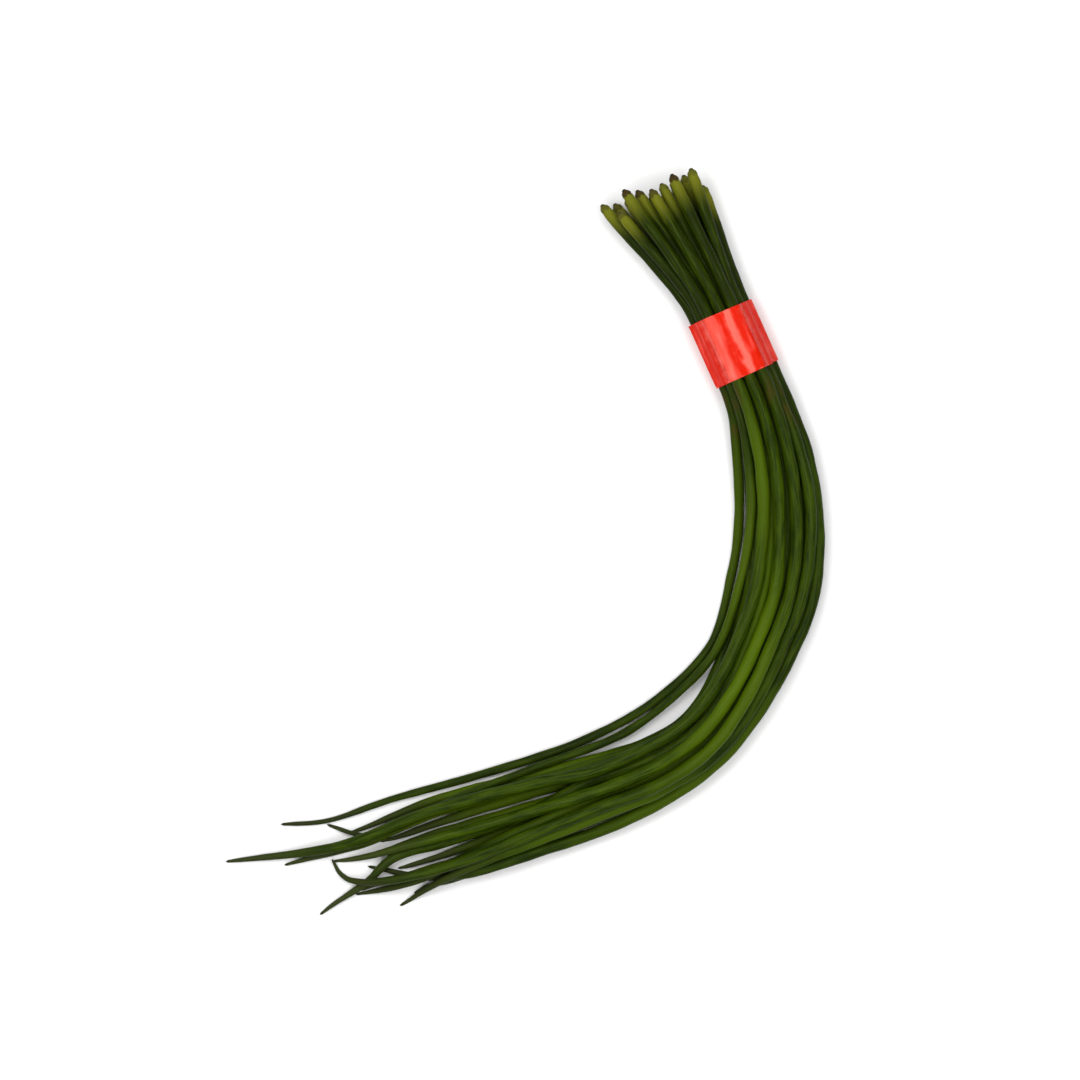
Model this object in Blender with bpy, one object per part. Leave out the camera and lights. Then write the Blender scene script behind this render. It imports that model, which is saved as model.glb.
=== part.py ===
"""A bunch of sixteen yardlong beans, held near the stems by one wide band of tape and laid on a flat surface.

Each bean is one pod, which grew in one piece with its stem stub and its beaked tip. The pods run straight
through the band, side by side, stacked in four rows. Towards the stems they splay like a fan. On the other
side they slump into a low heap that sweeps round in a C and ends in loose, crossing tips.

The layout below is in millimetres, with X and Y along the surface and Z up. The scene itself is in metres.
"""

from collections import namedtuple

import bmesh
import bpy
import numpy as np
from mathutils import Vector

MM = 0.001

# Pods: the radius of a full one, the swelling at each seed, and a shorter step along the bending tip
POD_RADIUS = 3.9
POD_SIDES = 8
SEED_SPACING = 26.0
SEED_WAIST = 0.93
STATION_STEP = SEED_SPACING / 2
TIP_LENGTH = 52.0
TIP_STEP = 7.0

# A full pod's radius at places counted from its stem end, and again from its tip
POD_RADIUS_IN_BAND = 3.5
STEM_PROFILE = (
    (0, 1.6),
    (1.2, 2.2),
    (3, 2.8),
    (6.5, 3.1),
    (10, 3.45),
    (40, POD_RADIUS_IN_BAND),
    (130, POD_RADIUS_IN_BAND),
    (200, POD_RADIUS),
)
TIP_PROFILE = ((0, 0.5), (4, 1.0), (10, 1.45), (20, 1.9), (45, 2.75), (90, 3.5), (150, POD_RADIUS))
STEM_RINGS = (1.2, 3, 6.5)
TIP_RINGS = (1.2, 3.5)
DOME = 0.5

# A slim pod thins out over this stretch, and no part of it is thinner than this unless a full pod's is
SLIM_AT = (60, 240)
THINNEST = 1.4

# Tape band, a small gap outside the pods. They run straight as far as this share of its width from its middle
BAND_MIDDLE = np.array([108.6, 110.0])
BAND_HEADING = np.array([0.407, -0.914])
BAND_WIDTH = 38.6
BAND_WALL = 0.8
BAND_CORNERS = 48
LANE_IN_BAND = 7.5
ROW_IN_BAND = LANE_IN_BAND * 0.866
STRAIGHT_SHARE = 0.75

# Stem fan: the distance between its lanes and between its rows, and its lean to one side
STEM_LANE = 14.0
STEM_LEAN = -8.0
STEM_ROW = 7.6

# The rows leave their heights in the band at this share of its width from its middle, until these distances
RISE_BEGINS = 0.6
STEM_RISE_ENDS = 90.0
HEAP_RISE_ENDS = 90.0

CLEARANCE = 0.35
CURVE_POINTS = 24

POD_GREEN = (0.055, 0.1, 0.008)
TAPE_RED = (0.78, 0.035, 0.02)

# The middle of the heap behind the band, with the sideways distance between its lanes at each place
Station = namedtuple("Station", "x y lane")
HEAP = (
    Station(130.1, 50.6, 8.7),
    Station(134.2, 22.1, 9.3),
    Station(134.0, -3.0, 9.6),
    Station(130.1, -28.7, 9.6),
    Station(120.6, -56.5, 9.2),
    Station(108.7, -83.8, 8.5),
    Station(90.2, -110.1, 8.1),
    Station(63.6, -127.9, 8.1),
    Station(32.8, -139.4, 8.5),
)

# Each pod wanders this far to each side of its lane in the heap, this many radians further at each station,
# and less at its first ones
DRIFT = 1.8
DRIFT_TURN = 1.1
DRIFT_FADE = 3
DRIFT_SEED = 3

# The two slim pods leave the heap early and run along its inner edge
INNER_TAIL = ((98.3, -59.3), (65.5, -92), (28, -112), (-34, -132), (-84, -146), (-120, -158), (-146, -160))
SECOND_TAIL = ((99, -61.5), (68.5, -90.5), (42, -110), (0, -129), (-50, -148), (-94, -167), (-120, -160))

# Each pod: its row and lane in the band, its girth beside a full one, how far its stem end is from the band's
# middle, how many of the heap's stations it follows, the places that its tail then passes on to its tip, and
# how far its stem end lies outside its lane in the fan
Pod = namedtuple("Pod", "row lane girth reach follows tail aside", defaults=(0.0,))
PODS = (
    Pod(0, -1.5, 0.94, 99, 9, ((0, -133), (-60, -149), (-108, -165))),
    Pod(0, -0.5, 1.00, 96, 9, ((0, -142), (-58, -154), (-92, -166))),
    Pod(0, 0.5, 0.97, 94, 9, ((0, -157), (-48, -180), (-84, -188))),
    Pod(0, 1.5, 1.00, 98, 9, ((0, -166), (-42, -184), (-71, -199))),
    Pod(1, -2.0, 0.68, 101, 4, INNER_TAIL),
    Pod(1, -1.0, 1.00, 99, 9, ((0, -138), (-62, -154), (-100, -170), (-144, -183))),
    Pod(1, 0.0, 0.96, 96, 9, ((0, -151), (-58, -168), (-96, -179))),
    Pod(1, 1.0, 1.00, 98, 9, ((0, -161), (-56, -185), (-101, -198))),
    Pod(1, 2.0, 0.98, 88, 9, ((0, -170), (-46, -187), (-74, -188), (-98, -184))),
    Pod(2, -1.5, 0.66, 93, 4, SECOND_TAIL),
    Pod(2, -0.5, 0.98, 100, 9, ((0, -151), (-52, -167), (-84, -176), (-99, -191), (-124, -211))),
    Pod(2, 0.5, 1.00, 98, 9, ((0, -160), (-54, -184), (-104, -199))),
    Pod(2, 1.5, 0.96, 99, 9, ((0, -166), (-48, -187), (-79, -206)), 4.5),
    Pod(3, -1.0, 0.98, 103, 9, ((0, -136), (-58, -151), (-112, -172), (-177, -181))),
    Pod(3, 0.0, 1.00, 97, 9, ((0, -151), (-58, -168), (-88, -177), (-117, -181))),
    Pod(3, 1.0, 0.97, 100, 9, ((0, -162), (-58, -185), (-96, -193), (-111, -189), (-117, -179))),
)

# Fitting the pods together: behind the band the rows start this far above each other and come down in small
# steps, larger ones first. More steps then clear what still touches
START_RISE = 9.0
LOWER_STEPS = 420
LOWER_BY = (0.16, 0.04)
CLEAR_STEPS = 300
DRAW_BACK = 0.07
STIFFNESS = 0.5
SEARCH_EVERY = 8
SEARCH_REACH = 26.0


def across(heading):
    """The sideways direction, towards the outside of the C."""
    return np.array([-heading[1], heading[0]]) / np.linalg.norm(heading)


def run_along(line):
    """The distance of each point of a line from its start."""
    return np.concatenate([[0.0], np.cumsum(np.linalg.norm(np.diff(line, axis=0), axis=1))])


def row_height(pod):
    """The height of a pod's middle in the band, whose flat underside is at zero."""
    outer = BAND_WALL + CLEARANCE + POD_RADIUS_IN_BAND
    return outer * np.cos(np.pi / BAND_CORNERS) + pod.row * ROW_IN_BAND


def pod_radius(places, length, girth):
    """A pod's radius at each place: stub, neck, body, and a long taper to the beak."""
    from_stem = np.interp(places, *zip(*STEM_PROFILE))
    from_tip = np.interp(length - places, *zip(*TIP_PROFILE))
    full = np.minimum(from_stem, from_tip)
    slimming = np.interp(places, SLIM_AT, (1.0, girth))
    return np.maximum(full * slimming, np.minimum(full, THINNEST))


def smooth_through(points):
    """Points on a smooth curve, a centripetal Catmull-Rom spline, through the given points."""
    points = np.asarray(points, float)
    padded = np.vstack([2 * points[0] - points[1], points, 2 * points[-1] - points[-2]])
    knots = np.concatenate([[0.0], np.cumsum(np.linalg.norm(np.diff(padded, axis=0), axis=1) ** 0.5)])
    curve = []
    for k in range(len(points) - 1):
        t0, t1, t2, t3 = knots[k:k + 4]
        p0, p1, p2, p3 = padded[k:k + 4]
        t = np.linspace(t1, t2, CURVE_POINTS, endpoint=False)[:, None]
        a1 = ((t1 - t) * p0 + (t - t0) * p1) / (t1 - t0)
        a2 = ((t2 - t) * p1 + (t - t1) * p2) / (t2 - t1)
        a3 = ((t3 - t) * p2 + (t - t2) * p3) / (t3 - t2)
        b1 = ((t2 - t) * a1 + (t - t0) * a2) / (t2 - t0)
        b2 = ((t3 - t) * a2 + (t - t1) * a3) / (t3 - t1)
        curve.append(((t2 - t) * b1 + (t - t1) * b2) / (t2 - t1))
    curve = np.vstack([*curve, points[-1]])
    run = run_along(curve)
    body = run[-1] - TIP_LENGTH
    stops = np.linspace(0.0, body, round(body / STATION_STEP) + 1)
    tip_stops = np.linspace(body, run[-1], round(TIP_LENGTH / TIP_STEP) + 1)
    stops = np.concatenate([stops, tip_stops[1:]])
    return np.column_stack([np.interp(stops, run, column) for column in curve.T])


def plan_of(pod, random):
    """The places that a pod passes, seen from above: stem end, band, heap and tail."""
    side = across(BAND_HEADING)
    stem_side = STEM_LEAN + pod.lane * STEM_LANE + pod.aside
    places = [BAND_MIDDLE - BAND_HEADING * pod.reach + side * stem_side]
    for share in (-STRAIGHT_SHARE, 0.0, STRAIGHT_SHARE):
        places.append(BAND_MIDDLE + BAND_HEADING * share * BAND_WIDTH + side * pod.lane * LANE_IN_BAND)
    middle = np.array([(station.x, station.y) for station in HEAP])
    headings = np.gradient(middle, axis=0)
    start = random.uniform(0.0, 2 * np.pi)
    for k, station in enumerate(HEAP[:pod.follows]):
        drift = DRIFT * np.sin(start + DRIFT_TURN * k) * min(1.0, k / DRIFT_FADE)
        places.append(middle[k] + across(headings[k]) * (pod.lane * station.lane + drift))
    return np.array([*places, *pod.tail], float)


def first_line(pod, random):
    """A pod's line before the pods are fitted together, its radii, and which of its points are held."""
    plan = smooth_through(plan_of(pod, random))
    run = run_along(plan)
    radii = pod_radius(run, run[-1], pod.girth)
    along = (plan - BAND_MIDDLE) @ BAND_HEADING
    front = run < run[-1] / 2
    stem_side = front & (along < 0)
    in_band = front & (np.abs(along) < (BAND_WIDTH + STATION_STEP) / 2)
    straight = BAND_MIDDLE + np.outer(along, BAND_HEADING) + across(BAND_HEADING) * pod.lane * LANE_IN_BAND
    plan[in_band] = straight[in_band]
    band = row_height(pod)
    stem = POD_RADIUS_IN_BAND + pod.row * STEM_ROW
    heap = radii + pod.row * START_RISE
    fan = np.interp(along, [-STEM_RISE_ENDS, -RISE_BEGINS * BAND_WIDTH], [stem, band])
    past_middle = run - run[stem_side][-1] + along[stem_side][-1]
    rise = np.interp(past_middle, [RISE_BEGINS * BAND_WIDTH, HEAP_RISE_ENDS], [0.0, 1.0])
    height = np.where(stem_side, fan, band + (heap - band) * rise)
    held = front & (along < BAND_WIDTH / 2 + STATION_STEP)
    return np.column_stack([plan, height]), radii, held


def nearest_shares(a0, a1, b0, b1):
    """How far along each of two straight stretches the place lies where they come closest, for many pairs."""
    da, db, gap = a1 - a0, b1 - b0, a0 - b0
    aa, bb, ab = (da * da).sum(1), (db * db).sum(1), (da * db).sum(1)
    ag, bg = (da * gap).sum(1), (db * gap).sum(1)
    s = np.clip((ab * bg - ag * bb) / np.maximum(aa * bb - ab * ab, 1e-9), 0.0, 1.0)
    t = np.clip((ab * s + bg) / bb, 0.0, 1.0)
    return np.clip((ab * t - ag) / aa, 0.0, 1.0), t


def near_pairs(points, owner, starts):
    """Pairs of stretches of two different pods that lie near each other."""
    middle = (points[starts] + points[starts + 1]) / 2
    size = (middle * middle).sum(1)
    apart = size[:, None] + size[None, :] - 2 * middle @ middle.T
    near = (apart < SEARCH_REACH ** 2) & (owner[starts][:, None] < owner[starts][None, :])
    one, other = np.nonzero(near)
    return starts[one], starts[other]


def push_apart(points, radii, pairs):
    """Moves stretches that are closer than their radii allow straight away from each other."""
    i, j = pairs
    s, t = nearest_shares(points[i], points[i + 1], points[j], points[j + 1])
    one = points[i] + (points[i + 1] - points[i]) * s[:, None]
    other = points[j] + (points[j + 1] - points[j]) * t[:, None]
    away = one - other
    apart = np.maximum(np.linalg.norm(away, axis=1), 1e-6)
    reach = radii[i] * (1 - s) + radii[i + 1] * s + radii[j] * (1 - t) + radii[j + 1] * t
    short = reach + CLEARANCE - apart
    shares = np.column_stack([1 - s, s, 1 - t, t]) * (short > 0)[:, None]
    amount = short / np.maximum((shares * shares).sum(1), 1e-9)
    moves = (shares * [1, 1, -1, -1] * amount[:, None])[:, :, None] * (away / apart[:, None])[:, None, :]
    corners = np.column_stack([i, i + 1, j, j + 1]).ravel()
    weight = np.maximum(np.bincount(corners, shares.ravel(), len(points)), 1.0)
    for axis in range(3):
        points[:, axis] += np.bincount(corners, moves[:, :, axis].ravel(), len(points)) / weight


def fit_together(first, radii, owner, held):
    """Brings the rows down onto the surface and each other, and bends every pod as evenly as a stiff one."""
    points = first.copy()
    same = owner[:-1] == owner[1:]
    starts = np.flatnonzero(same)
    inner = np.flatnonzero(same[:-3] & same[1:-2] & same[2:-1] & same[3:]) + 2
    for step in range(LOWER_STEPS + CLEAR_STEPS):
        if step % SEARCH_EVERY == 0:
            pairs = near_pairs(points, owner, starts)
        stiffness = STIFFNESS
        if step < LOWER_STEPS:
            points[:, :2] += DRAW_BACK * (first - points)[:, :2]
            points[:, 2] -= np.interp(step, (0, LOWER_STEPS), LOWER_BY)
        else:
            stiffness *= (1 - (step - LOWER_STEPS) / CLEAR_STEPS) ** 2
        moved = points - first
        even = (4 * (moved[inner - 1] + moved[inner + 1]) - moved[inner - 2] - moved[inner + 2]) / 6
        points[inner] += stiffness * (even - moved[inner])
        push_apart(points, radii, pairs)
        points[:, 2] = np.maximum(points[:, 2], radii)
        points[held] = first[held]
    return points


def lay_out():
    """Each pod's fitted line."""
    random = np.random.default_rng(DRIFT_SEED)
    lines, radii, held = zip(*(first_line(pod, random) for pod in PODS))
    owner = np.repeat(np.arange(len(PODS)), [len(line) for line in lines])
    points = fit_together(np.vstack(lines), np.concatenate(radii), owner, np.concatenate(held))
    return [points[owner == k] for k in range(len(PODS))]


def pod_rings(line, girth):
    """The middle, heading and radius of each ring of a pod: at seeds and waists, and closer at both ends."""
    run = run_along(line)
    length = run[-1]
    places = np.unique([*STEM_RINGS, *run[:-1], *(length - np.array(TIP_RINGS))])
    middles = np.column_stack([np.interp(places, run, column) for column in line.T])
    waist = (1 - SEED_WAIST) * (0.5 - 0.5 * np.cos(np.pi * places / run[1]))
    radii = pod_radius(places, length, girth) * np.where(places > STATION_STEP, 1 - waist, 1.0)
    return middles, np.gradient(middles, axis=0), radii


def pod_mesh(name, line, girth):
    """A closed tube with a point at both ends."""
    middles, headings, radii = pod_rings(line, girth)
    bm = bmesh.new()
    ring = bmesh.ops.create_circle(bm, segments=POD_SIDES, radius=1.0)["verts"]
    corners = [vert.co.copy() for vert in ring]
    edges = bm.edges[:]
    first = ring
    for k, (middle, heading, radius) in enumerate(zip(middles, headings, radii.tolist())):
        if k:
            made = bmesh.ops.extrude_edge_only(bm, edges=edges)["geom"]
            edges = [part for part in made if isinstance(part, bmesh.types.BMEdge)]
            ring = [part for part in made if isinstance(part, bmesh.types.BMVert)]
        side = Vector(heading).cross(Vector((0, 0, 1))).normalized()
        up = side.cross(Vector(heading)).normalized()
        for vert, corner in zip(ring, corners):
            vert.co = Vector(middle) + radius * (corner.x * side + corner.y * up)
    stem_end = Vector(line[0]) - DOME * Vector(headings[0]).normalized()
    for end, place in ((first, stem_end), (ring, Vector(line[-1]))):
        pole = bm.verts.new(place)
        for edge in {edge for vert in end for edge in vert.link_edges if edge.is_boundary}:
            bm.faces.new((*edge.verts, pole))
    bmesh.ops.recalc_face_normals(bm, faces=bm.faces[:])
    return finish(bm, name)


def finish(bm, name):
    """The mesh's own data, ready for an object."""
    mesh = bpy.data.meshes.new(name)
    bm.to_mesh(mesh)
    bm.free()
    mesh.shade_smooth()
    return mesh


def band_outline(gap):
    """The band's outline this far outside the pods: arcs round the outer ones, straight between them."""
    middles = np.array([(pod.lane * LANE_IN_BAND, row_height(pod)) for pod in PODS])
    turns = (np.arange(BAND_CORNERS) + 0.5) * 2 * np.pi / BAND_CORNERS
    outward = np.column_stack([np.cos(turns), np.sin(turns)])
    furthest = np.argmax(outward @ middles.T, axis=1)
    return middles[furthest] + (POD_RADIUS_IN_BAND + gap) * outward


def band_mesh(name):
    """A ring with a plain wall, as long as the tape is wide."""
    bm = bmesh.new()
    side = across(BAND_HEADING)
    start = BAND_MIDDLE - BAND_HEADING * BAND_WIDTH / 2
    for gap in (CLEARANCE, CLEARANCE + BAND_WALL):
        loop = [bm.verts.new((*(start + side * x), z)) for x, z in band_outline(gap)]
        for one, other in zip(loop, loop[1:] + loop[:1]):
            bm.edges.new((one, other))
    wall = bmesh.ops.bridge_loops(bm, edges=bm.edges[:])["faces"]
    made = bmesh.ops.extrude_face_region(bm, geom=wall)["geom"]
    far_end = [part for part in made if isinstance(part, bmesh.types.BMVert)]
    bmesh.ops.translate(bm, verts=far_end, vec=(*(BAND_HEADING * BAND_WIDTH), 0))
    bmesh.ops.recalc_face_normals(bm, faces=bm.faces[:])
    return finish(bm, name)


def material(name, colour, roughness):
    """A plain material of one colour."""
    made = bpy.data.materials.new(name)
    made.use_nodes = True
    shader = made.node_tree.nodes["Principled BSDF"]
    shader.inputs["Base Color"].default_value = (*colour, 1.0)
    shader.inputs["Roughness"].default_value = roughness
    return made


def place_on_surface(meshes):
    """Moves everything so that the bunch stands on zero, with the middle of its plan at the origin."""
    corners = np.array([vert.co[:] for mesh in meshes for vert in mesh.vertices])
    low, high = corners.min(axis=0), corners.max(axis=0)
    shift = Vector((-(low[0] + high[0]) / 2, -(low[1] + high[1]) / 2, 0.0))
    for mesh in meshes:
        for vert in mesh.vertices:
            vert.co = (vert.co + shift) * MM


for old in list(bpy.data.objects):
    bpy.data.objects.remove(old)

band = band_mesh("band")
band.materials.append(material("band_tape", TAPE_RED, 0.3))
meshes = [band]
shades = np.random.default_rng(DRIFT_SEED).uniform(0.75, 1.2, len(PODS))
for number, (pod, line, shade) in enumerate(zip(PODS, lay_out(), shades), start=1):
    mesh = pod_mesh(f"bean_{number:02d}", line, pod.girth)
    mesh.materials.append(material(f"{mesh.name}_green", [shade * part for part in POD_GREEN], 0.45))
    meshes.append(mesh)
place_on_surface(meshes)
for mesh in meshes:
    bpy.context.scene.collection.objects.link(bpy.data.objects.new(mesh.name, mesh))
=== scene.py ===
"""A bunch of yardlong beans, held near the stems by red tape and laid down, dressed for its portrait.

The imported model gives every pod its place. Each pod is made again here with a fine skin, along the same line.
"""

import math

import bmesh
import bpy
import numpy as np
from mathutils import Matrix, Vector


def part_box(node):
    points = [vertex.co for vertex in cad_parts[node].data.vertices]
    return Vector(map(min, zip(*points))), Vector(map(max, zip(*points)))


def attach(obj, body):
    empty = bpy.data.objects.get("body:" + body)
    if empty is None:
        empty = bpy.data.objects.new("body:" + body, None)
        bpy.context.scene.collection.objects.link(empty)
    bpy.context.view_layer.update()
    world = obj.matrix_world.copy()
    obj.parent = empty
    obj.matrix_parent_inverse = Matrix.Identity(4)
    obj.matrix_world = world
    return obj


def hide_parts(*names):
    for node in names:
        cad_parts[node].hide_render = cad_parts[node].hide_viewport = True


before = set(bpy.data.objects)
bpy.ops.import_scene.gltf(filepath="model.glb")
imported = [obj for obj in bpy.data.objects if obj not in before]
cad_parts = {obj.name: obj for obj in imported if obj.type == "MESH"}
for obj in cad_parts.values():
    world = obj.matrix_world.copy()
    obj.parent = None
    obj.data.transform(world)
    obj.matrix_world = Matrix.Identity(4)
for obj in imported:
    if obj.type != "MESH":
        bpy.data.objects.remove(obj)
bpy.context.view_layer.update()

# The view. The bunch is seen square on, so the camera looks straight down on it from far away, through a long
# lens. A pixel of the photograph is 0.56 mm on the bunch, and the band's middle fixes where the frame lies.
PIXEL = 0.00056
FRAME_SIDE = 1080 * PIXEL
BAND_PIXEL = (733.9, 343.6)
CAMERA_HEIGHT = 3.0
HALF_HEIGHT = 0.015
SENSOR = 36.0
FARTHEST_SEEN = 30.0

band_low, band_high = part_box("band")
band_middle = (band_low + band_high) / 2
lens = bpy.data.cameras.new("camera")
lens.sensor_width = SENSOR
lens.lens = SENSOR * (CAMERA_HEIGHT - HALF_HEIGHT) / FRAME_SIDE
lens.clip_end = FARTHEST_SEEN
camera = bpy.data.objects.new("camera", lens)
camera.location.x = band_middle.x + FRAME_SIDE / 2 - BAND_PIXEL[0] * PIXEL
camera.location.y = band_middle.y - FRAME_SIDE / 2 + BAND_PIXEL[1] * PIXEL
camera.location.z = CAMERA_HEIGHT
bpy.context.scene.collection.objects.link(camera)
bpy.context.scene.camera = camera

# The studio. A plain white floor under four soft lights, with the strongest on the inner side of the bend.
# The surround is pale at the horizon and dark above, so that the tops of the pods keep their deep green.
FLOOR_SIDE = 12.0
FLOOR_WHITE = (0.9, 0.9, 0.9)
FLOOR_ROUGHNESS = 0.9
HORIZON = (0.2, 0.2, 0.2)
ZENITH = (0.01, 0.01, 0.01)
ZENITH_FROM = 0.75
# Each light's name, its place, its side in metres and its power in watts. They all face the bunch's middle
LIGHTS = (
    ("key_light", (-0.70, 0.30, 1.6), 1.0, 17.0),
    ("outer_light", (0.80, -0.20, 1.6), 1.1, 14.0),
    ("stem_light", (0.20, 0.95, 1.6), 1.1, 12.0),
    ("tip_light", (-0.20, -0.95, 1.6), 1.1, 12.0),
)


class Wire:
    """A socket among shader nodes. Sums and products of it add Math nodes, and add() any other node."""

    def __init__(self, tree, socket=None):
        self.tree = tree
        self.socket = socket

    def add(self, kind, settings, inputs, output=0):
        """Adds a node: its settings or a ramp's two stops first, then the values or links of its sockets."""
        node = self.tree.nodes.new(kind)
        for name, setting in settings.items():
            if name == "stops":
                for element, (place, colour) in zip(node.color_ramp.elements, setting):
                    element.position = place
                    element.color = (*colour, 1.0)
            else:
                setattr(node, name, setting)
        for name, given in inputs.items():
            if isinstance(given, Wire):
                self.tree.links.new(given.socket, node.inputs[name])
            else:
                node.inputs[name].default_value = given
        return Wire(self.tree, node.outputs[output])

    def math(self, operation, one, other):
        """A Math node on two values."""
        return self.add("ShaderNodeMath", {"operation": operation}, {0: one, 1: other})

    def __add__(self, other):
        return self.math("ADD", self, other)

    def __radd__(self, other):
        return self.math("ADD", other, self)

    def __sub__(self, other):
        return self.math("SUBTRACT", self, other)

    def __rsub__(self, other):
        return self.math("SUBTRACT", other, self)

    def __mul__(self, other):
        return self.math("MULTIPLY", self, other)

    def __rmul__(self, other):
        return self.math("MULTIPLY", other, self)

    def size(self):
        """This value without its sign."""
        return self.add("ShaderNodeMath", {"operation": "ABSOLUTE"}, {0: self})

    def fade(self, start, end):
        """0 up to the start, 1 from the end on, and a smooth change between them. It may run either way."""
        low = min(start, end)
        high = max(start, end)
        first, last = (0.0, 1.0) if start < end else (1.0, 0.0)
        inputs = {"Value": self, "From Min": low, "From Max": high, "To Min": first, "To Max": last}
        return self.add("ShaderNodeMapRange", {"interpolation_type": "SMOOTHSTEP"}, inputs)

    def tint(self, colour, other):
        """From one colour where this value is 0 to another where it is 1."""
        settings = {"data_type": "RGBA", "clamp_factor": True}
        return self.add("ShaderNodeMix", settings, {0: self, 6: colour, 7: other}, 2)

    def noise(self, scale, detail=2.0):
        """A soft random pattern on this place."""
        return self.add("ShaderNodeTexNoise", {}, {"Vector": self, "Scale": scale, "Detail": detail})

    def stretched(self, scale, shift):
        """This place, stretched and then moved."""
        inputs = {0: self, 1: scale, 2: shift}
        return self.add("ShaderNodeVectorMath", {"operation": "MULTIPLY_ADD"}, inputs)


for name, place, side, watts in LIGHTS:
    light = bpy.data.lights.new(name, "AREA")
    light.size = side
    light.energy = watts
    lamp = bpy.data.objects.new(name, light)
    lamp.location = place
    lamp.rotation_euler = (-Vector(place)).to_track_quat("-Z", "Y").to_euler()
    bpy.context.scene.collection.objects.link(lamp)

surround = bpy.data.worlds.new("surround")
surround.use_nodes = True
start = Wire(surround.node_tree)
direction = start.add("ShaderNodeTexCoord", {}, {}, "Generated")
upward = start.add("ShaderNodeSeparateXYZ", {}, {0: direction}, "Z")
sky = start.add("ShaderNodeValToRGB", {"stops": ((0.0, HORIZON), (ZENITH_FROM, ZENITH))}, {0: upward})
surround.node_tree.links.new(sky.socket, surround.node_tree.nodes["Background"].inputs["Color"])
bpy.context.scene.world = surround
bpy.context.scene.view_settings.view_transform = "Standard"

bm = bmesh.new()
bmesh.ops.create_grid(bm, x_segments=1, y_segments=1, size=FLOOR_SIDE / 2)
floor_mesh = bpy.data.meshes.new("floor")
bm.to_mesh(floor_mesh)
bm.free()
floor = bpy.data.objects.new("floor", floor_mesh)
bpy.context.scene.collection.objects.link(floor)
floor_paint = bpy.data.materials.new("floor_paint")
floor_paint.use_nodes = True
floor_shader = floor_paint.node_tree.nodes["Principled BSDF"]
floor_shader.inputs["Base Color"].default_value = (*FLOOR_WHITE, 1.0)
floor_shader.inputs["Roughness"].default_value = FLOOR_ROUGHNESS
floor_mesh.materials.append(floor_paint)

# The beans. Each pod grew in one piece: a dried stub of its stalk, a small calyx, a pale neck, a long slender
# body that swells a little at each seed and has a seam along two sides, and a thin beak. They lie as packed.
SKIN_IN_CAD = 0.965
SIDES = 30
NECK_STEP = 0.0004
BODY_STEP = 0.0014
TIP_STEP = 0.0005
TIP_LENGTH = 0.008
# The stub, calyx and neck: how far along the pod, and the radius there, in millimetres
NECK = (
    (0.0, 0.0),
    (0.1, 0.75),
    (0.4, 1.1),
    (0.9, 1.2),
    (1.5, 1.75),
    (2.3, 2.5),
    (3.6, 2.85),
    (4.6, 2.65),
    (5.8, 2.9),
    (8.0, 3.15),
    (16.0, 3.3),
)
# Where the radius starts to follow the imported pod, and from where on it does so in full
NECK_ENDS = (0.006, 0.022)
CALYX_EDGE = 0.0046
CALYX_REACH = 0.0022
CALYX_LOBES = 5
LOBE_DEPTH = 0.0006
# Swellings of a pod: the length of each one, how often it goes round the pod, and its share of the radius
LUMPS = ((0.011, 0, 0.006), (0.017, 1, 0.008), (0.031, 2, 0.010), (0.047, 0, 0.008), (0.007, 3, 0.003))
# The least and the most that a pod is rolled about its line at its stem end, twisted in a metre, and swayed
ROLL = ((0.0, -9.0, 0.2), (2 * math.pi, 9.0, 0.6))
SWAY_LENGTH = 0.06
CAD_MERGE = 1e-6
SKIN_MERGE = 2e-6


def layers_from(start):
    """The corners of a closed shell, in layers by how many edges they are away from a first one."""
    layers = [[start]]
    seen = {start}
    while layers[-1]:
        nearby = {edge.other_vert(vert) for vert in layers[-1] for edge in vert.link_edges} - seen
        seen |= nearby
        layers.append(sorted(nearby, key=lambda vert: vert.index))
    return layers[:-1]


def rings_of(node):
    """The middle and radius of each ring of a packed pod, from its stem end to its tip, in metres."""
    bm = bmesh.new()
    bm.from_mesh(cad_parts[node].data)
    bmesh.ops.remove_doubles(bm, verts=bm.verts, dist=CAD_MERGE)
    bm.verts.index_update()
    bm.verts.ensure_lookup_table()
    # The corner that is farthest from any other lies at an end of the pod
    end = bm.verts[0]
    for _ in range(3):
        layers = layers_from(end)
        end = layers[-1][0]
    rings = []
    for layer in layers:
        corners = np.array([vert.co for vert in layer])
        middle = corners.mean(axis=0)
        rings.append((*middle, np.linalg.norm(corners - middle, axis=1).mean()))
    bm.free()
    rings = np.array(rings)
    return rings if rings[0, 1] > rings[-1, 1] else rings[::-1]


def distance_along(points):
    """How far each point of a line is from its start."""
    return np.concatenate([[0.0], np.cumsum(np.linalg.norm(np.diff(points, axis=0), axis=1))])


def curve_through(places, values, stops):
    """A smooth curve through the values that are known at some places, read at other places."""
    slopes = np.gradient(values, places, axis=0)
    k = np.clip(np.searchsorted(places, stops, side="right") - 1, 0, len(places) - 2)
    step = (places[k + 1] - places[k])[:, None]
    t = (stops - places[k])[:, None] / step
    return (
        (2 * t**3 - 3 * t**2 + 1) * values[k]
        + (t**3 - 2 * t**2 + t) * step * slopes[k]
        + (3 * t**2 - 2 * t**3) * values[k + 1]
        + (t**3 - t**2) * step * slopes[k + 1]
    )


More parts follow.
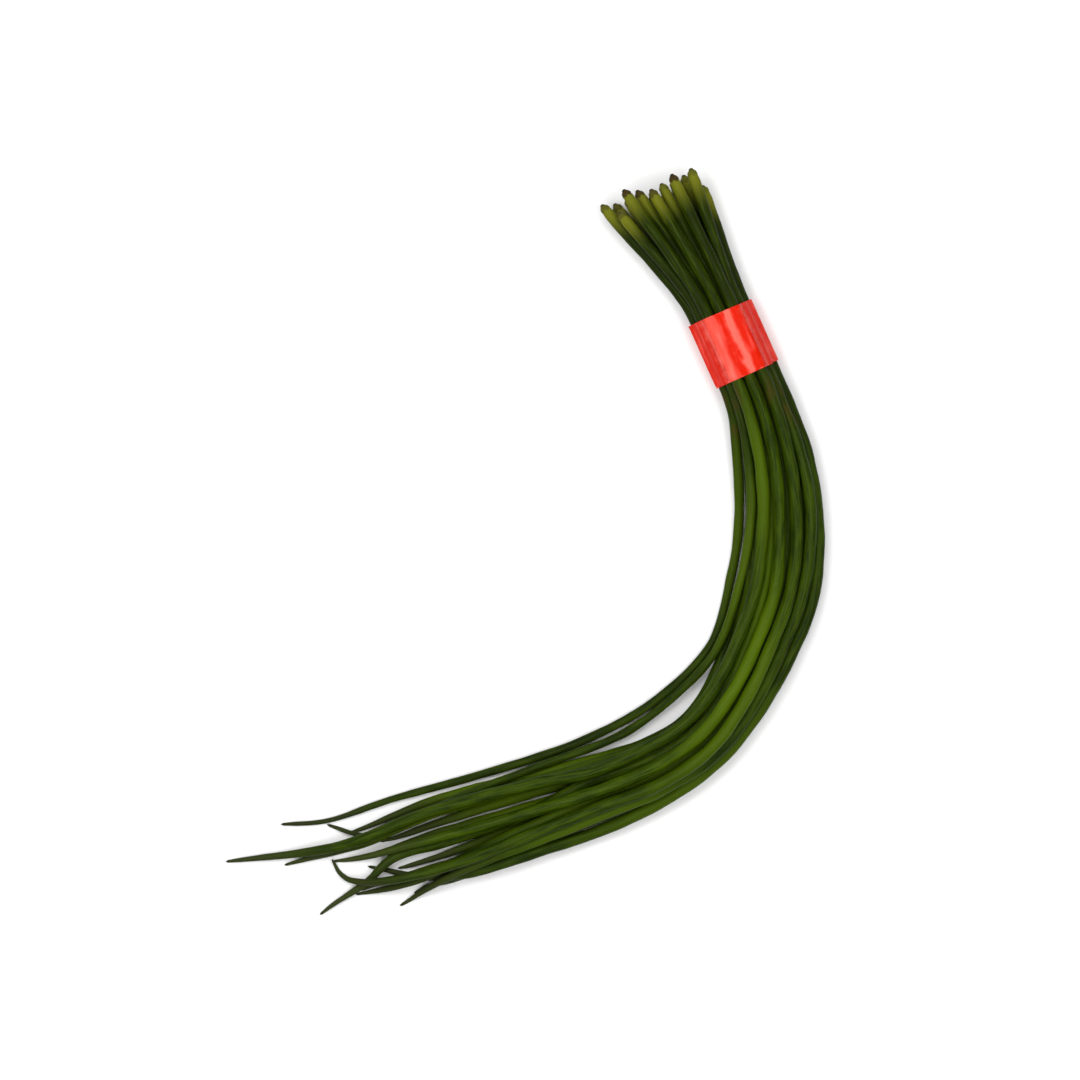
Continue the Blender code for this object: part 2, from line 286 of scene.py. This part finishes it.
def pod_mesh(name, rings, random):
    """A pod's fine skin: a grid rolled up along the pod's own line, closed at both ends."""
    run = distance_along(rings[:, :3])
    length = run[-1]
    neck = np.array(NECK) / 1000
    stops = np.concatenate([
        np.arange(0.0, neck[-1, 0], NECK_STEP),
        np.arange(neck[-1, 0], length - TIP_LENGTH, BODY_STEP),
        np.linspace(length - TIP_LENGTH, length, round(TIP_LENGTH / TIP_STEP) + 1),
    ])
    line = curve_through(run, rings, stops)
    line[-1, 3] = 0.0
    heading = np.gradient(line[:, :3], stops, axis=0)
    side = np.cross(heading, (0.0, 0.0, 1.0))
    side /= np.linalg.norm(side, axis=1)[:, None]
    up = np.cross(side, heading)
    up /= np.linalg.norm(up, axis=1)[:, None]
    rolled, twist, sway = random.uniform(*ROLL)
    turn = rolled + twist * stops + sway * np.sin(stops / SWAY_LENGTH + rolled)

    bm = bmesh.new()
    bmesh.ops.create_grid(bm, x_segments=SIDES, y_segments=len(stops) - 1, size=1.0)
    flat = np.array([vert.co for vert in bm.verts])
    row = np.rint((flat[:, 1] + 1) / 2 * (len(stops) - 1)).astype(int)
    around = (flat[:, 0] + 1) * math.pi
    grown = stops[row]
    calyx = np.clip(1 - np.abs(grown - CALYX_EDGE) / CALYX_REACH, 0.0, 1.0)
    grown = grown + LOBE_DEPTH * calyx * np.cos(CALYX_LOBES * around)
    in_neck = np.interp(grown, *neck.T)
    past_neck = np.clip((grown - NECK_ENDS[0]) / (NECK_ENDS[1] - NECK_ENDS[0]), 0.0, 1.0)
    past_neck = past_neck * past_neck * (3 - 2 * past_neck)
    radius = (1 - past_neck) * in_neck + past_neck * SKIN_IN_CAD * line[row, 3]
    for wave, times, height in LUMPS:
        phase = random.uniform(0.0, 2 * math.pi)
        radius *= 1 + height * np.sin(2 * math.pi * grown / wave + times * around + phase)
    angle = around + turn[row]
    outward = np.cos(angle)[:, None] * side[row] + np.sin(angle)[:, None] * up[row]
    places = line[row, :3] + radius[:, None] * outward
    places[:, 2] = np.maximum(places[:, 2], 0.0)
    # What the greens go by: the way round the pod with the distance grown, and the distance to the tip
    grown_layer = bm.verts.layers.float_vector.new("grown")
    to_tip_layer = bm.verts.layers.float.new("to_tip")
    for vert, place, turned, far, left in zip(bm.verts, places, around, grown, length - stops[row]):
        vert.co = place
        vert[grown_layer] = (math.cos(turned), math.sin(turned), far)
        vert[to_tip_layer] = left
    bmesh.ops.remove_doubles(bm, verts=bm.verts, dist=SKIN_MERGE)
    bmesh.ops.recalc_face_normals(bm, faces=bm.faces)
    mesh = bpy.data.meshes.new(name)
    bm.to_mesh(mesh)
    bm.free()
    mesh.shade_smooth()
    return mesh


# The greens and browns of the skin. A pair runs from a fresh stem end to a dry one
DEEP_GREEN = (0.0115, 0.025, 0.0004)
MIDDLE_GREEN = (0.043, 0.077, 0.0010)
# The paler stretch is partly the pod's own tone and partly a painted highlight
PALE_SHEEN_GREEN = (0.092, 0.158, 0.0022)
FLECK_GREEN = (0.10, 0.135, 0.012)
SEAM_GREEN = (0.08, 0.11, 0.006)
BEAK_GREEN = (0.038, 0.050, 0.012)
# Painted shade: a dark green in streaks over the stem-end fan
FAN_SHADE_GREEN = (0.011, 0.018, 0.0005, 1.0)
# Painted shade with a painted red reflection of the tape, on the pods a little past the band
TAPE_REFLECTION_SHADE = (0.060, 0.026, 0.006, 1.0)
NECK_GREEN = (0.150, 0.160, 0.009, 1.0)
CALYX_COLOURS = ((0.120, 0.135, 0.011), (0.046, 0.030, 0.007))
STUB_COLOURS = ((0.080, 0.070, 0.014), (0.026, 0.017, 0.007))
TIP_BROWN = (0.022, 0.020, 0.009, 1.0)
# Where each of them starts to show and where it shows in full, as a distance along the pod in metres
PALE_SHEEN_REACH = (0.085, 0.015)
FAN_SHADE_REACH = (0.17, 0.10)
TAPE_REFLECTION_SHADE_AT = 0.139
TAPE_REFLECTION_SHADE_REACH = (0.020, 0.006)
BEAK_REACH = (0.075, 0.004)
NECK_REACH = (0.028, 0.008)
CALYX_END = (0.0061, 0.0049)
STUB_END = (0.0024, 0.0012)
TIP_REACH = (0.003, 0.001)
# How patterns are stretched, so that they run round a pod of this radius and are drawn out along it
AROUND = 0.0038
STREAK_STRETCH = (AROUND, AROUND, 0.06)
PATCH_STRETCH = (AROUND, AROUND, 0.3)
FLECK_STRETCH = (AROUND, AROUND, 0.45)
SEAM_WIDTH = (0.16, 0.02)
SKIN_RELIEF = 0.00012
SKIN_SHINE = 0.05


def shade(colour, tone):
    """A colour made lighter or darker."""
    return (*(tone * part for part in colour), 1.0)


def mixed(colour, other, share):
    """A colour between two."""
    return (*((1 - share) * one + share * two for one, two in zip(colour, other)), 1.0)


def pod_skin(name, tone, pale_sheen_at, dryness, shift):
    """Waxy green skin with streaks, seams, a pale neck and a dry stem end. It has a paler stretch that is
    partly painted highlight, painted shade over the stem-end fan, and painted shade with a red reflection of
    the tape a little past the band.
    """
    skin = bpy.data.materials.new(name)
    skin.use_nodes = True
    shader = skin.node_tree.nodes["Principled BSDF"]
    start = Wire(skin.node_tree)
    grown = start.add("ShaderNodeAttribute", {"attribute_name": "grown"}, {}, "Vector")
    to_tip = start.add("ShaderNodeAttribute", {"attribute_name": "to_tip"}, {}, "Fac")
    run = start.add("ShaderNodeSeparateXYZ", {}, {0: grown}, "Z")
    sine = start.add("ShaderNodeSeparateXYZ", {}, {0: grown}, "Y")

    streaks = grown.stretched(STREAK_STRETCH, (shift, 0.0, 0.0)).noise(1100.0, 3.0)
    patches = grown.stretched(PATCH_STRETCH, (0.0, shift, 0.0)).noise(150.0, 2.0)
    flecks = grown.stretched(FLECK_STRETCH, (0.0, 0.0, shift)).noise(2600.0, 1.0)
    seam = sine.size().fade(*SEAM_WIDTH)

    uneven = (0.55 * streaks + 0.45 * patches).fade(0.36, 0.64)
    body = uneven.tint(shade(DEEP_GREEN, tone), shade(MIDDLE_GREEN, tone))
    # A paler stretch, partly the pod's own tone and partly a painted highlight
    body = (0.6 * (run - pale_sheen_at).size().fade(*PALE_SHEEN_REACH)).tint(body, shade(PALE_SHEEN_GREEN, tone))
    body = (0.22 * flecks.fade(0.56, 0.72)).tint(body, shade(FLECK_GREEN, tone))
    body = (0.3 * seam).tint(body, shade(SEAM_GREEN, tone))
    # Painted shade: dark streaks over the stem-end fan
    body = (0.85 * run.fade(*FAN_SHADE_REACH) * streaks.fade(0.70, 0.46)).tint(body, FAN_SHADE_GREEN)
    # Painted shade with a painted red reflection of the tape, in patches a little past the band
    tape_reflection_shade = (run - TAPE_REFLECTION_SHADE_AT).size().fade(*TAPE_REFLECTION_SHADE_REACH) * patches.fade(0.50, 0.62)
    body = (0.45 * tape_reflection_shade).tint(body, TAPE_REFLECTION_SHADE)
    colour = to_tip.fade(*BEAK_REACH).tint(body, shade(BEAK_GREEN, tone))
    colour = (0.9 * (run + 0.006 * patches).fade(*NECK_REACH)).tint(colour, NECK_GREEN)
    colour = (run + 0.002 * patches).fade(*CALYX_END).tint(colour, mixed(*CALYX_COLOURS, dryness))
    colour = (run + 0.001 * streaks).fade(*STUB_END).tint(colour, mixed(*STUB_COLOURS, dryness))
    colour = to_tip.fade(*TIP_REACH).tint(colour, TIP_BROWN)
    skin.node_tree.links.new(colour.socket, shader.inputs["Base Color"])
    skin.node_tree.links.new((0.34 + 0.16 * patches + 0.06 * streaks).socket, shader.inputs["Roughness"])
    height = 0.5 * streaks + 0.3 * flecks - 0.9 * seam
    bump = start.add("ShaderNodeBump", {}, {"Height": height, "Strength": 0.5, "Distance": SKIN_RELIEF})
    skin.node_tree.links.new(bump.socket, shader.inputs["Normal"])
    shader.inputs["Specular IOR Level"].default_value = SKIN_SHINE
    return skin


# How light a pod is beside the others, how far from its stem end it is palest, in metres, where a highlight is
# partly painted, and how dry that end is. Pods that aren't listed have the usual tone
TONES = {
    "bean_04": (0.70, 0.40, 0.3),
    "bean_05": (0.58, 0.20, 0.4),
    "bean_06": (0.85, 0.46, 0.5),
    "bean_09": (0.68, 0.37, 0.1),
    "bean_10": (0.68, 0.22, 0.5),
    "bean_11": (0.85, 0.23, 0.9),
    "bean_12": (0.75, 0.40, 0.2),
    "bean_13": (0.76, 0.43, 0.3),
    "bean_14": (0.78, 0.17, 1.0),
    "bean_15": (0.95, 0.29, 0.7),
    "bean_16": (0.80, 0.32, 1.0),
}
USUAL_TONE = (0.90, 0.42, 0.6)
FIRST_DRAW = 100
PATTERN_SHIFT = 3.7

beans = sorted(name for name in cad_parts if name.startswith("bean"))
lines = {}
for number, name in enumerate(beans):
    lines[name] = rings_of(name)
    mesh = pod_mesh(f"{name}_skin", lines[name], np.random.default_rng(FIRST_DRAW + number))
    mesh.materials.append(pod_skin(f"{name}_green", *TONES.get(name, USUAL_TONE), PATTERN_SHIFT * number))
    piece = bpy.data.objects.new(f"{name}_skin", mesh)
    bpy.context.scene.collection.objects.link(piece)
    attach(piece, "root")
    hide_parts(name)

# The band. Red glossy tape, wound round the bunch a little over twice and stuck to itself. It is pulled tight
# over the pods, dips a little between them, and its end is cut on teeth. Highlights are painted on it, over two
# of the pods and in pale streaks.
# Which way the pods run through the band, from stem ends to tips, and the way across them
BAND_HEADING = np.array((0.4068, -0.9135, 0.0))
BAND_SIDE = np.array((0.9135, 0.4068, 0.0))
TAPE_WIDTH = 0.0370
TAPE_THICKNESS = 0.00010
TURN_SPACING = 0.00024
POD_RADIUS_IN_BAND = 0.0035
UNDER_TAPE = 0.00038
TURNS = 2.3
END_AT = 0.37
ALONG_STEP = 0.0005
ACROSS = 46
DIRECTIONS = 720
SOFTENING = 5
DIP = 0.65
TOOTH = 0.0011
TOOTH_DEPTH = 0.0005
# The tape wanders to the side from turn to turn: how far, how fast in radians a turn, and from what angle
WANDER = (0.0007, 2.4, 0.9)
# Creases are waves across and along the tape: their height, and the least and most that each wave is drawn at
CREASE = 0.00006
CREASE_WAVES = ((-140.0, 60.0, 0.0), (140.0, 260.0, 2 * math.pi), (9, 3))
# Its two edges curl up and down: how far, and how fast in radians a metre along it and from edge to edge
CURL = 0.00016
CURL_WAVES = (41.0, 3.0)
SHARP_FROM = math.radians(50)


def crossing(rings):
    """Where a pod passes the band's middle, as its distance to the side and its height."""
    offset = rings[:len(rings) // 2, :3] - np.array(band_middle)
    along = offset @ BAND_HEADING
    return np.interp(0.0, along, offset @ BAND_SIDE), np.interp(0.0, along, rings[:len(along), 2])


def evenly(points, spacing):
    """A closed outline's points, spaced evenly along it."""
    closed = np.vstack([points, points[:1]])
    run = distance_along(closed)
    stops = np.linspace(0.0, run[-1], round(run[-1] / spacing), endpoint=False)
    return np.column_stack([np.interp(stops, run, column) for column in closed.T])


def softened(values):
    """Values round a closed outline, each one the mean of its neighbourhood."""
    return sum(np.roll(values, k, axis=0) for k in range(-SOFTENING, SOFTENING + 1)) / (2 * SOFTENING + 1)


pod_middles = np.array([crossing(lines[name]) for name in beans])
turns = np.linspace(0.0, 2 * math.pi, DIRECTIONS, endpoint=False)
outward = np.column_stack([np.cos(turns), np.sin(turns)])
outermost = np.argmax(outward @ pod_middles.T, axis=1)
outline = evenly(pod_middles[outermost] + (POD_RADIUS_IN_BAND + UNDER_TAPE) * outward, ALONG_STEP)
tangent = np.roll(outline, -1, axis=0) - np.roll(outline, 1, axis=0)
tangent /= np.linalg.norm(tangent, axis=1)[:, None]
normal = softened(np.column_stack([tangent[:, 1], -tangent[:, 0]]))
to_middles = np.linalg.norm(outline[:, None] - pod_middles[None], axis=2).min(axis=1)
dip = DIP * softened(to_middles - POD_RADIUS_IN_BAND - UNDER_TAPE)

steps = round(TURNS * len(outline))
bm = bmesh.new()
bmesh.ops.create_grid(bm, x_segments=steps, y_segments=ACROSS, size=1.0)
# What the reds go by: the distance along the tape, across it and in turns, and the distance beside the middle
wound_layer = bm.verts.layers.float_vector.new("wound")
beside_layer = bm.verts.layers.float.new("beside")
waves = np.random.default_rng(5).uniform(*CREASE_WAVES)
for vert in bm.verts:
    over = (vert.co.y + 1) / 2
    tooth = TOOTH_DEPTH * abs((over * TAPE_WIDTH / TOOTH) % 1.0 - 0.5) * 2
    turned = (vert.co.x + 1) / 2 * (steps - tooth / ALONG_STEP)
    turn = turned / len(outline)
    spot = (turned + END_AT * len(outline) - steps) % len(outline)
    k = int(spot)
    mix = spot - k
    following = (k + 1) % len(outline)
    here = outline[k] * (1 - mix) + outline[following] * mix
    out = normal[k] * (1 - mix) + normal[following] * mix
    sink = dip[k] * (1 - mix) + dip[following] * mix
    around = spot * ALONG_STEP
    across = (over - 0.5) * TAPE_WIDTH + WANDER[0] * math.sin(WANDER[1] * turn + WANDER[2])
    crease = sum(math.sin(a * across + b * around + c) for a, b, c in waves) / len(waves)
    edge = abs(2 * over - 1) ** 6
    curl = edge * math.sin(CURL_WAVES[0] * around + CURL_WAVES[1] * over)
    flat = here + out * (turn * TURN_SPACING - sink + CREASE * crease + CURL * curl)
    place = np.array(band_middle) + BAND_SIDE * flat[0] + BAND_HEADING * across
    vert.co = (place[0], place[1], max(flat[1], TAPE_THICKNESS))
    vert[wound_layer] = (turned * ALONG_STEP, across, turn)
    vert[beside_layer] = flat[0]
bmesh.ops.recalc_face_normals(bm, faces=bm.faces)
bmesh.ops.solidify(bm, geom=bm.faces[:], thickness=TAPE_THICKNESS)
tape_mesh = bpy.data.meshes.new("band_tape")
bm.to_mesh(tape_mesh)
bm.free()
tape_mesh.shade_smooth()
tape_mesh.set_sharp_from_angle(angle=SHARP_FROM)

DEEP_RED = (0.64, 0.011, 0.0006, 1.0)
# A painted highlight colour for the tape, a pale salmon red
SHEEN_RED = (0.93, 0.130, 0.0950, 1.0)
# The two pods that a highlight is painted over: how far beside the middle, how far off it shows at all, and in
# full
NEAR_SHEEN = (0.0045, 0.0030, 0.0006)
FAR_SHEEN = (-0.0065, 0.0048, 0.0010)
SMEAR_AND_SHEEN_STRETCH = (1.0, 1.0, 0.0)
PULL_STRETCH = (0.12, 1.0, 0.0)
STRAIN_AND_SHEEN_STRETCH = (1.0, 0.12, 0.0)
TAPE_RELIEF = 0.0002
TAPE_SHINE = 0.06

red = bpy.data.materials.new("red_tape")
red.use_nodes = True
shader = red.node_tree.nodes["Principled BSDF"]
start = Wire(red.node_tree)
wound = start.add("ShaderNodeAttribute", {"attribute_name": "wound"}, {}, "Vector")
# Patterns for the tape's roughness and relief, which also place its painted highlight streaks
smears_and_sheen = wound.stretched(SMEAR_AND_SHEEN_STRETCH, (0.3, 0.0, 0.0)).noise(160.0, 3.0)
pulls = wound.stretched(PULL_STRETCH, (0.0, 0.7, 0.0)).noise(2400.0, 2.0)
strain_and_sheen = wound.stretched(STRAIN_AND_SHEEN_STRETCH, (0.0, 0.7, 0.0)).noise(330.0, 1.0)
aside = start.add("ShaderNodeAttribute", {"attribute_name": "beside"}, {}, "Fac") + 0.004 * smears_and_sheen
# Painted highlight over two of the pods under the tape
sheen_over_pods = (aside - NEAR_SHEEN[0]).size().fade(*NEAR_SHEEN[1:])
sheen_over_pods = sheen_over_pods + 0.6 * (aside - FAR_SHEEN[0]).size().fade(*FAR_SHEEN[1:])
# Painted highlight streaks along the whole tape as well, from the same patterns as its relief
painted_sheen = sheen_over_pods * (0.5 + strain_and_sheen) + 0.45 * (0.7 * strain_and_sheen + 0.3 * smears_and_sheen).fade(0.46, 0.68)
red.node_tree.links.new(painted_sheen.tint(DEEP_RED, SHEEN_RED).socket, shader.inputs["Base Color"])
red.node_tree.links.new((0.20 + 0.20 * smears_and_sheen).socket, shader.inputs["Roughness"])
relief = 0.3 * smears_and_sheen + 0.5 * strain_and_sheen + 0.15 * pulls
bump = start.add("ShaderNodeBump", {}, {"Height": relief, "Strength": 0.4, "Distance": TAPE_RELIEF})
red.node_tree.links.new(bump.socket, shader.inputs["Normal"])
shader.inputs["Specular IOR Level"].default_value = TAPE_SHINE
tape_mesh.materials.append(red)
tape = bpy.data.objects.new("band_tape", tape_mesh)
bpy.context.scene.collection.objects.link(tape)
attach(tape, "root")
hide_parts("band")
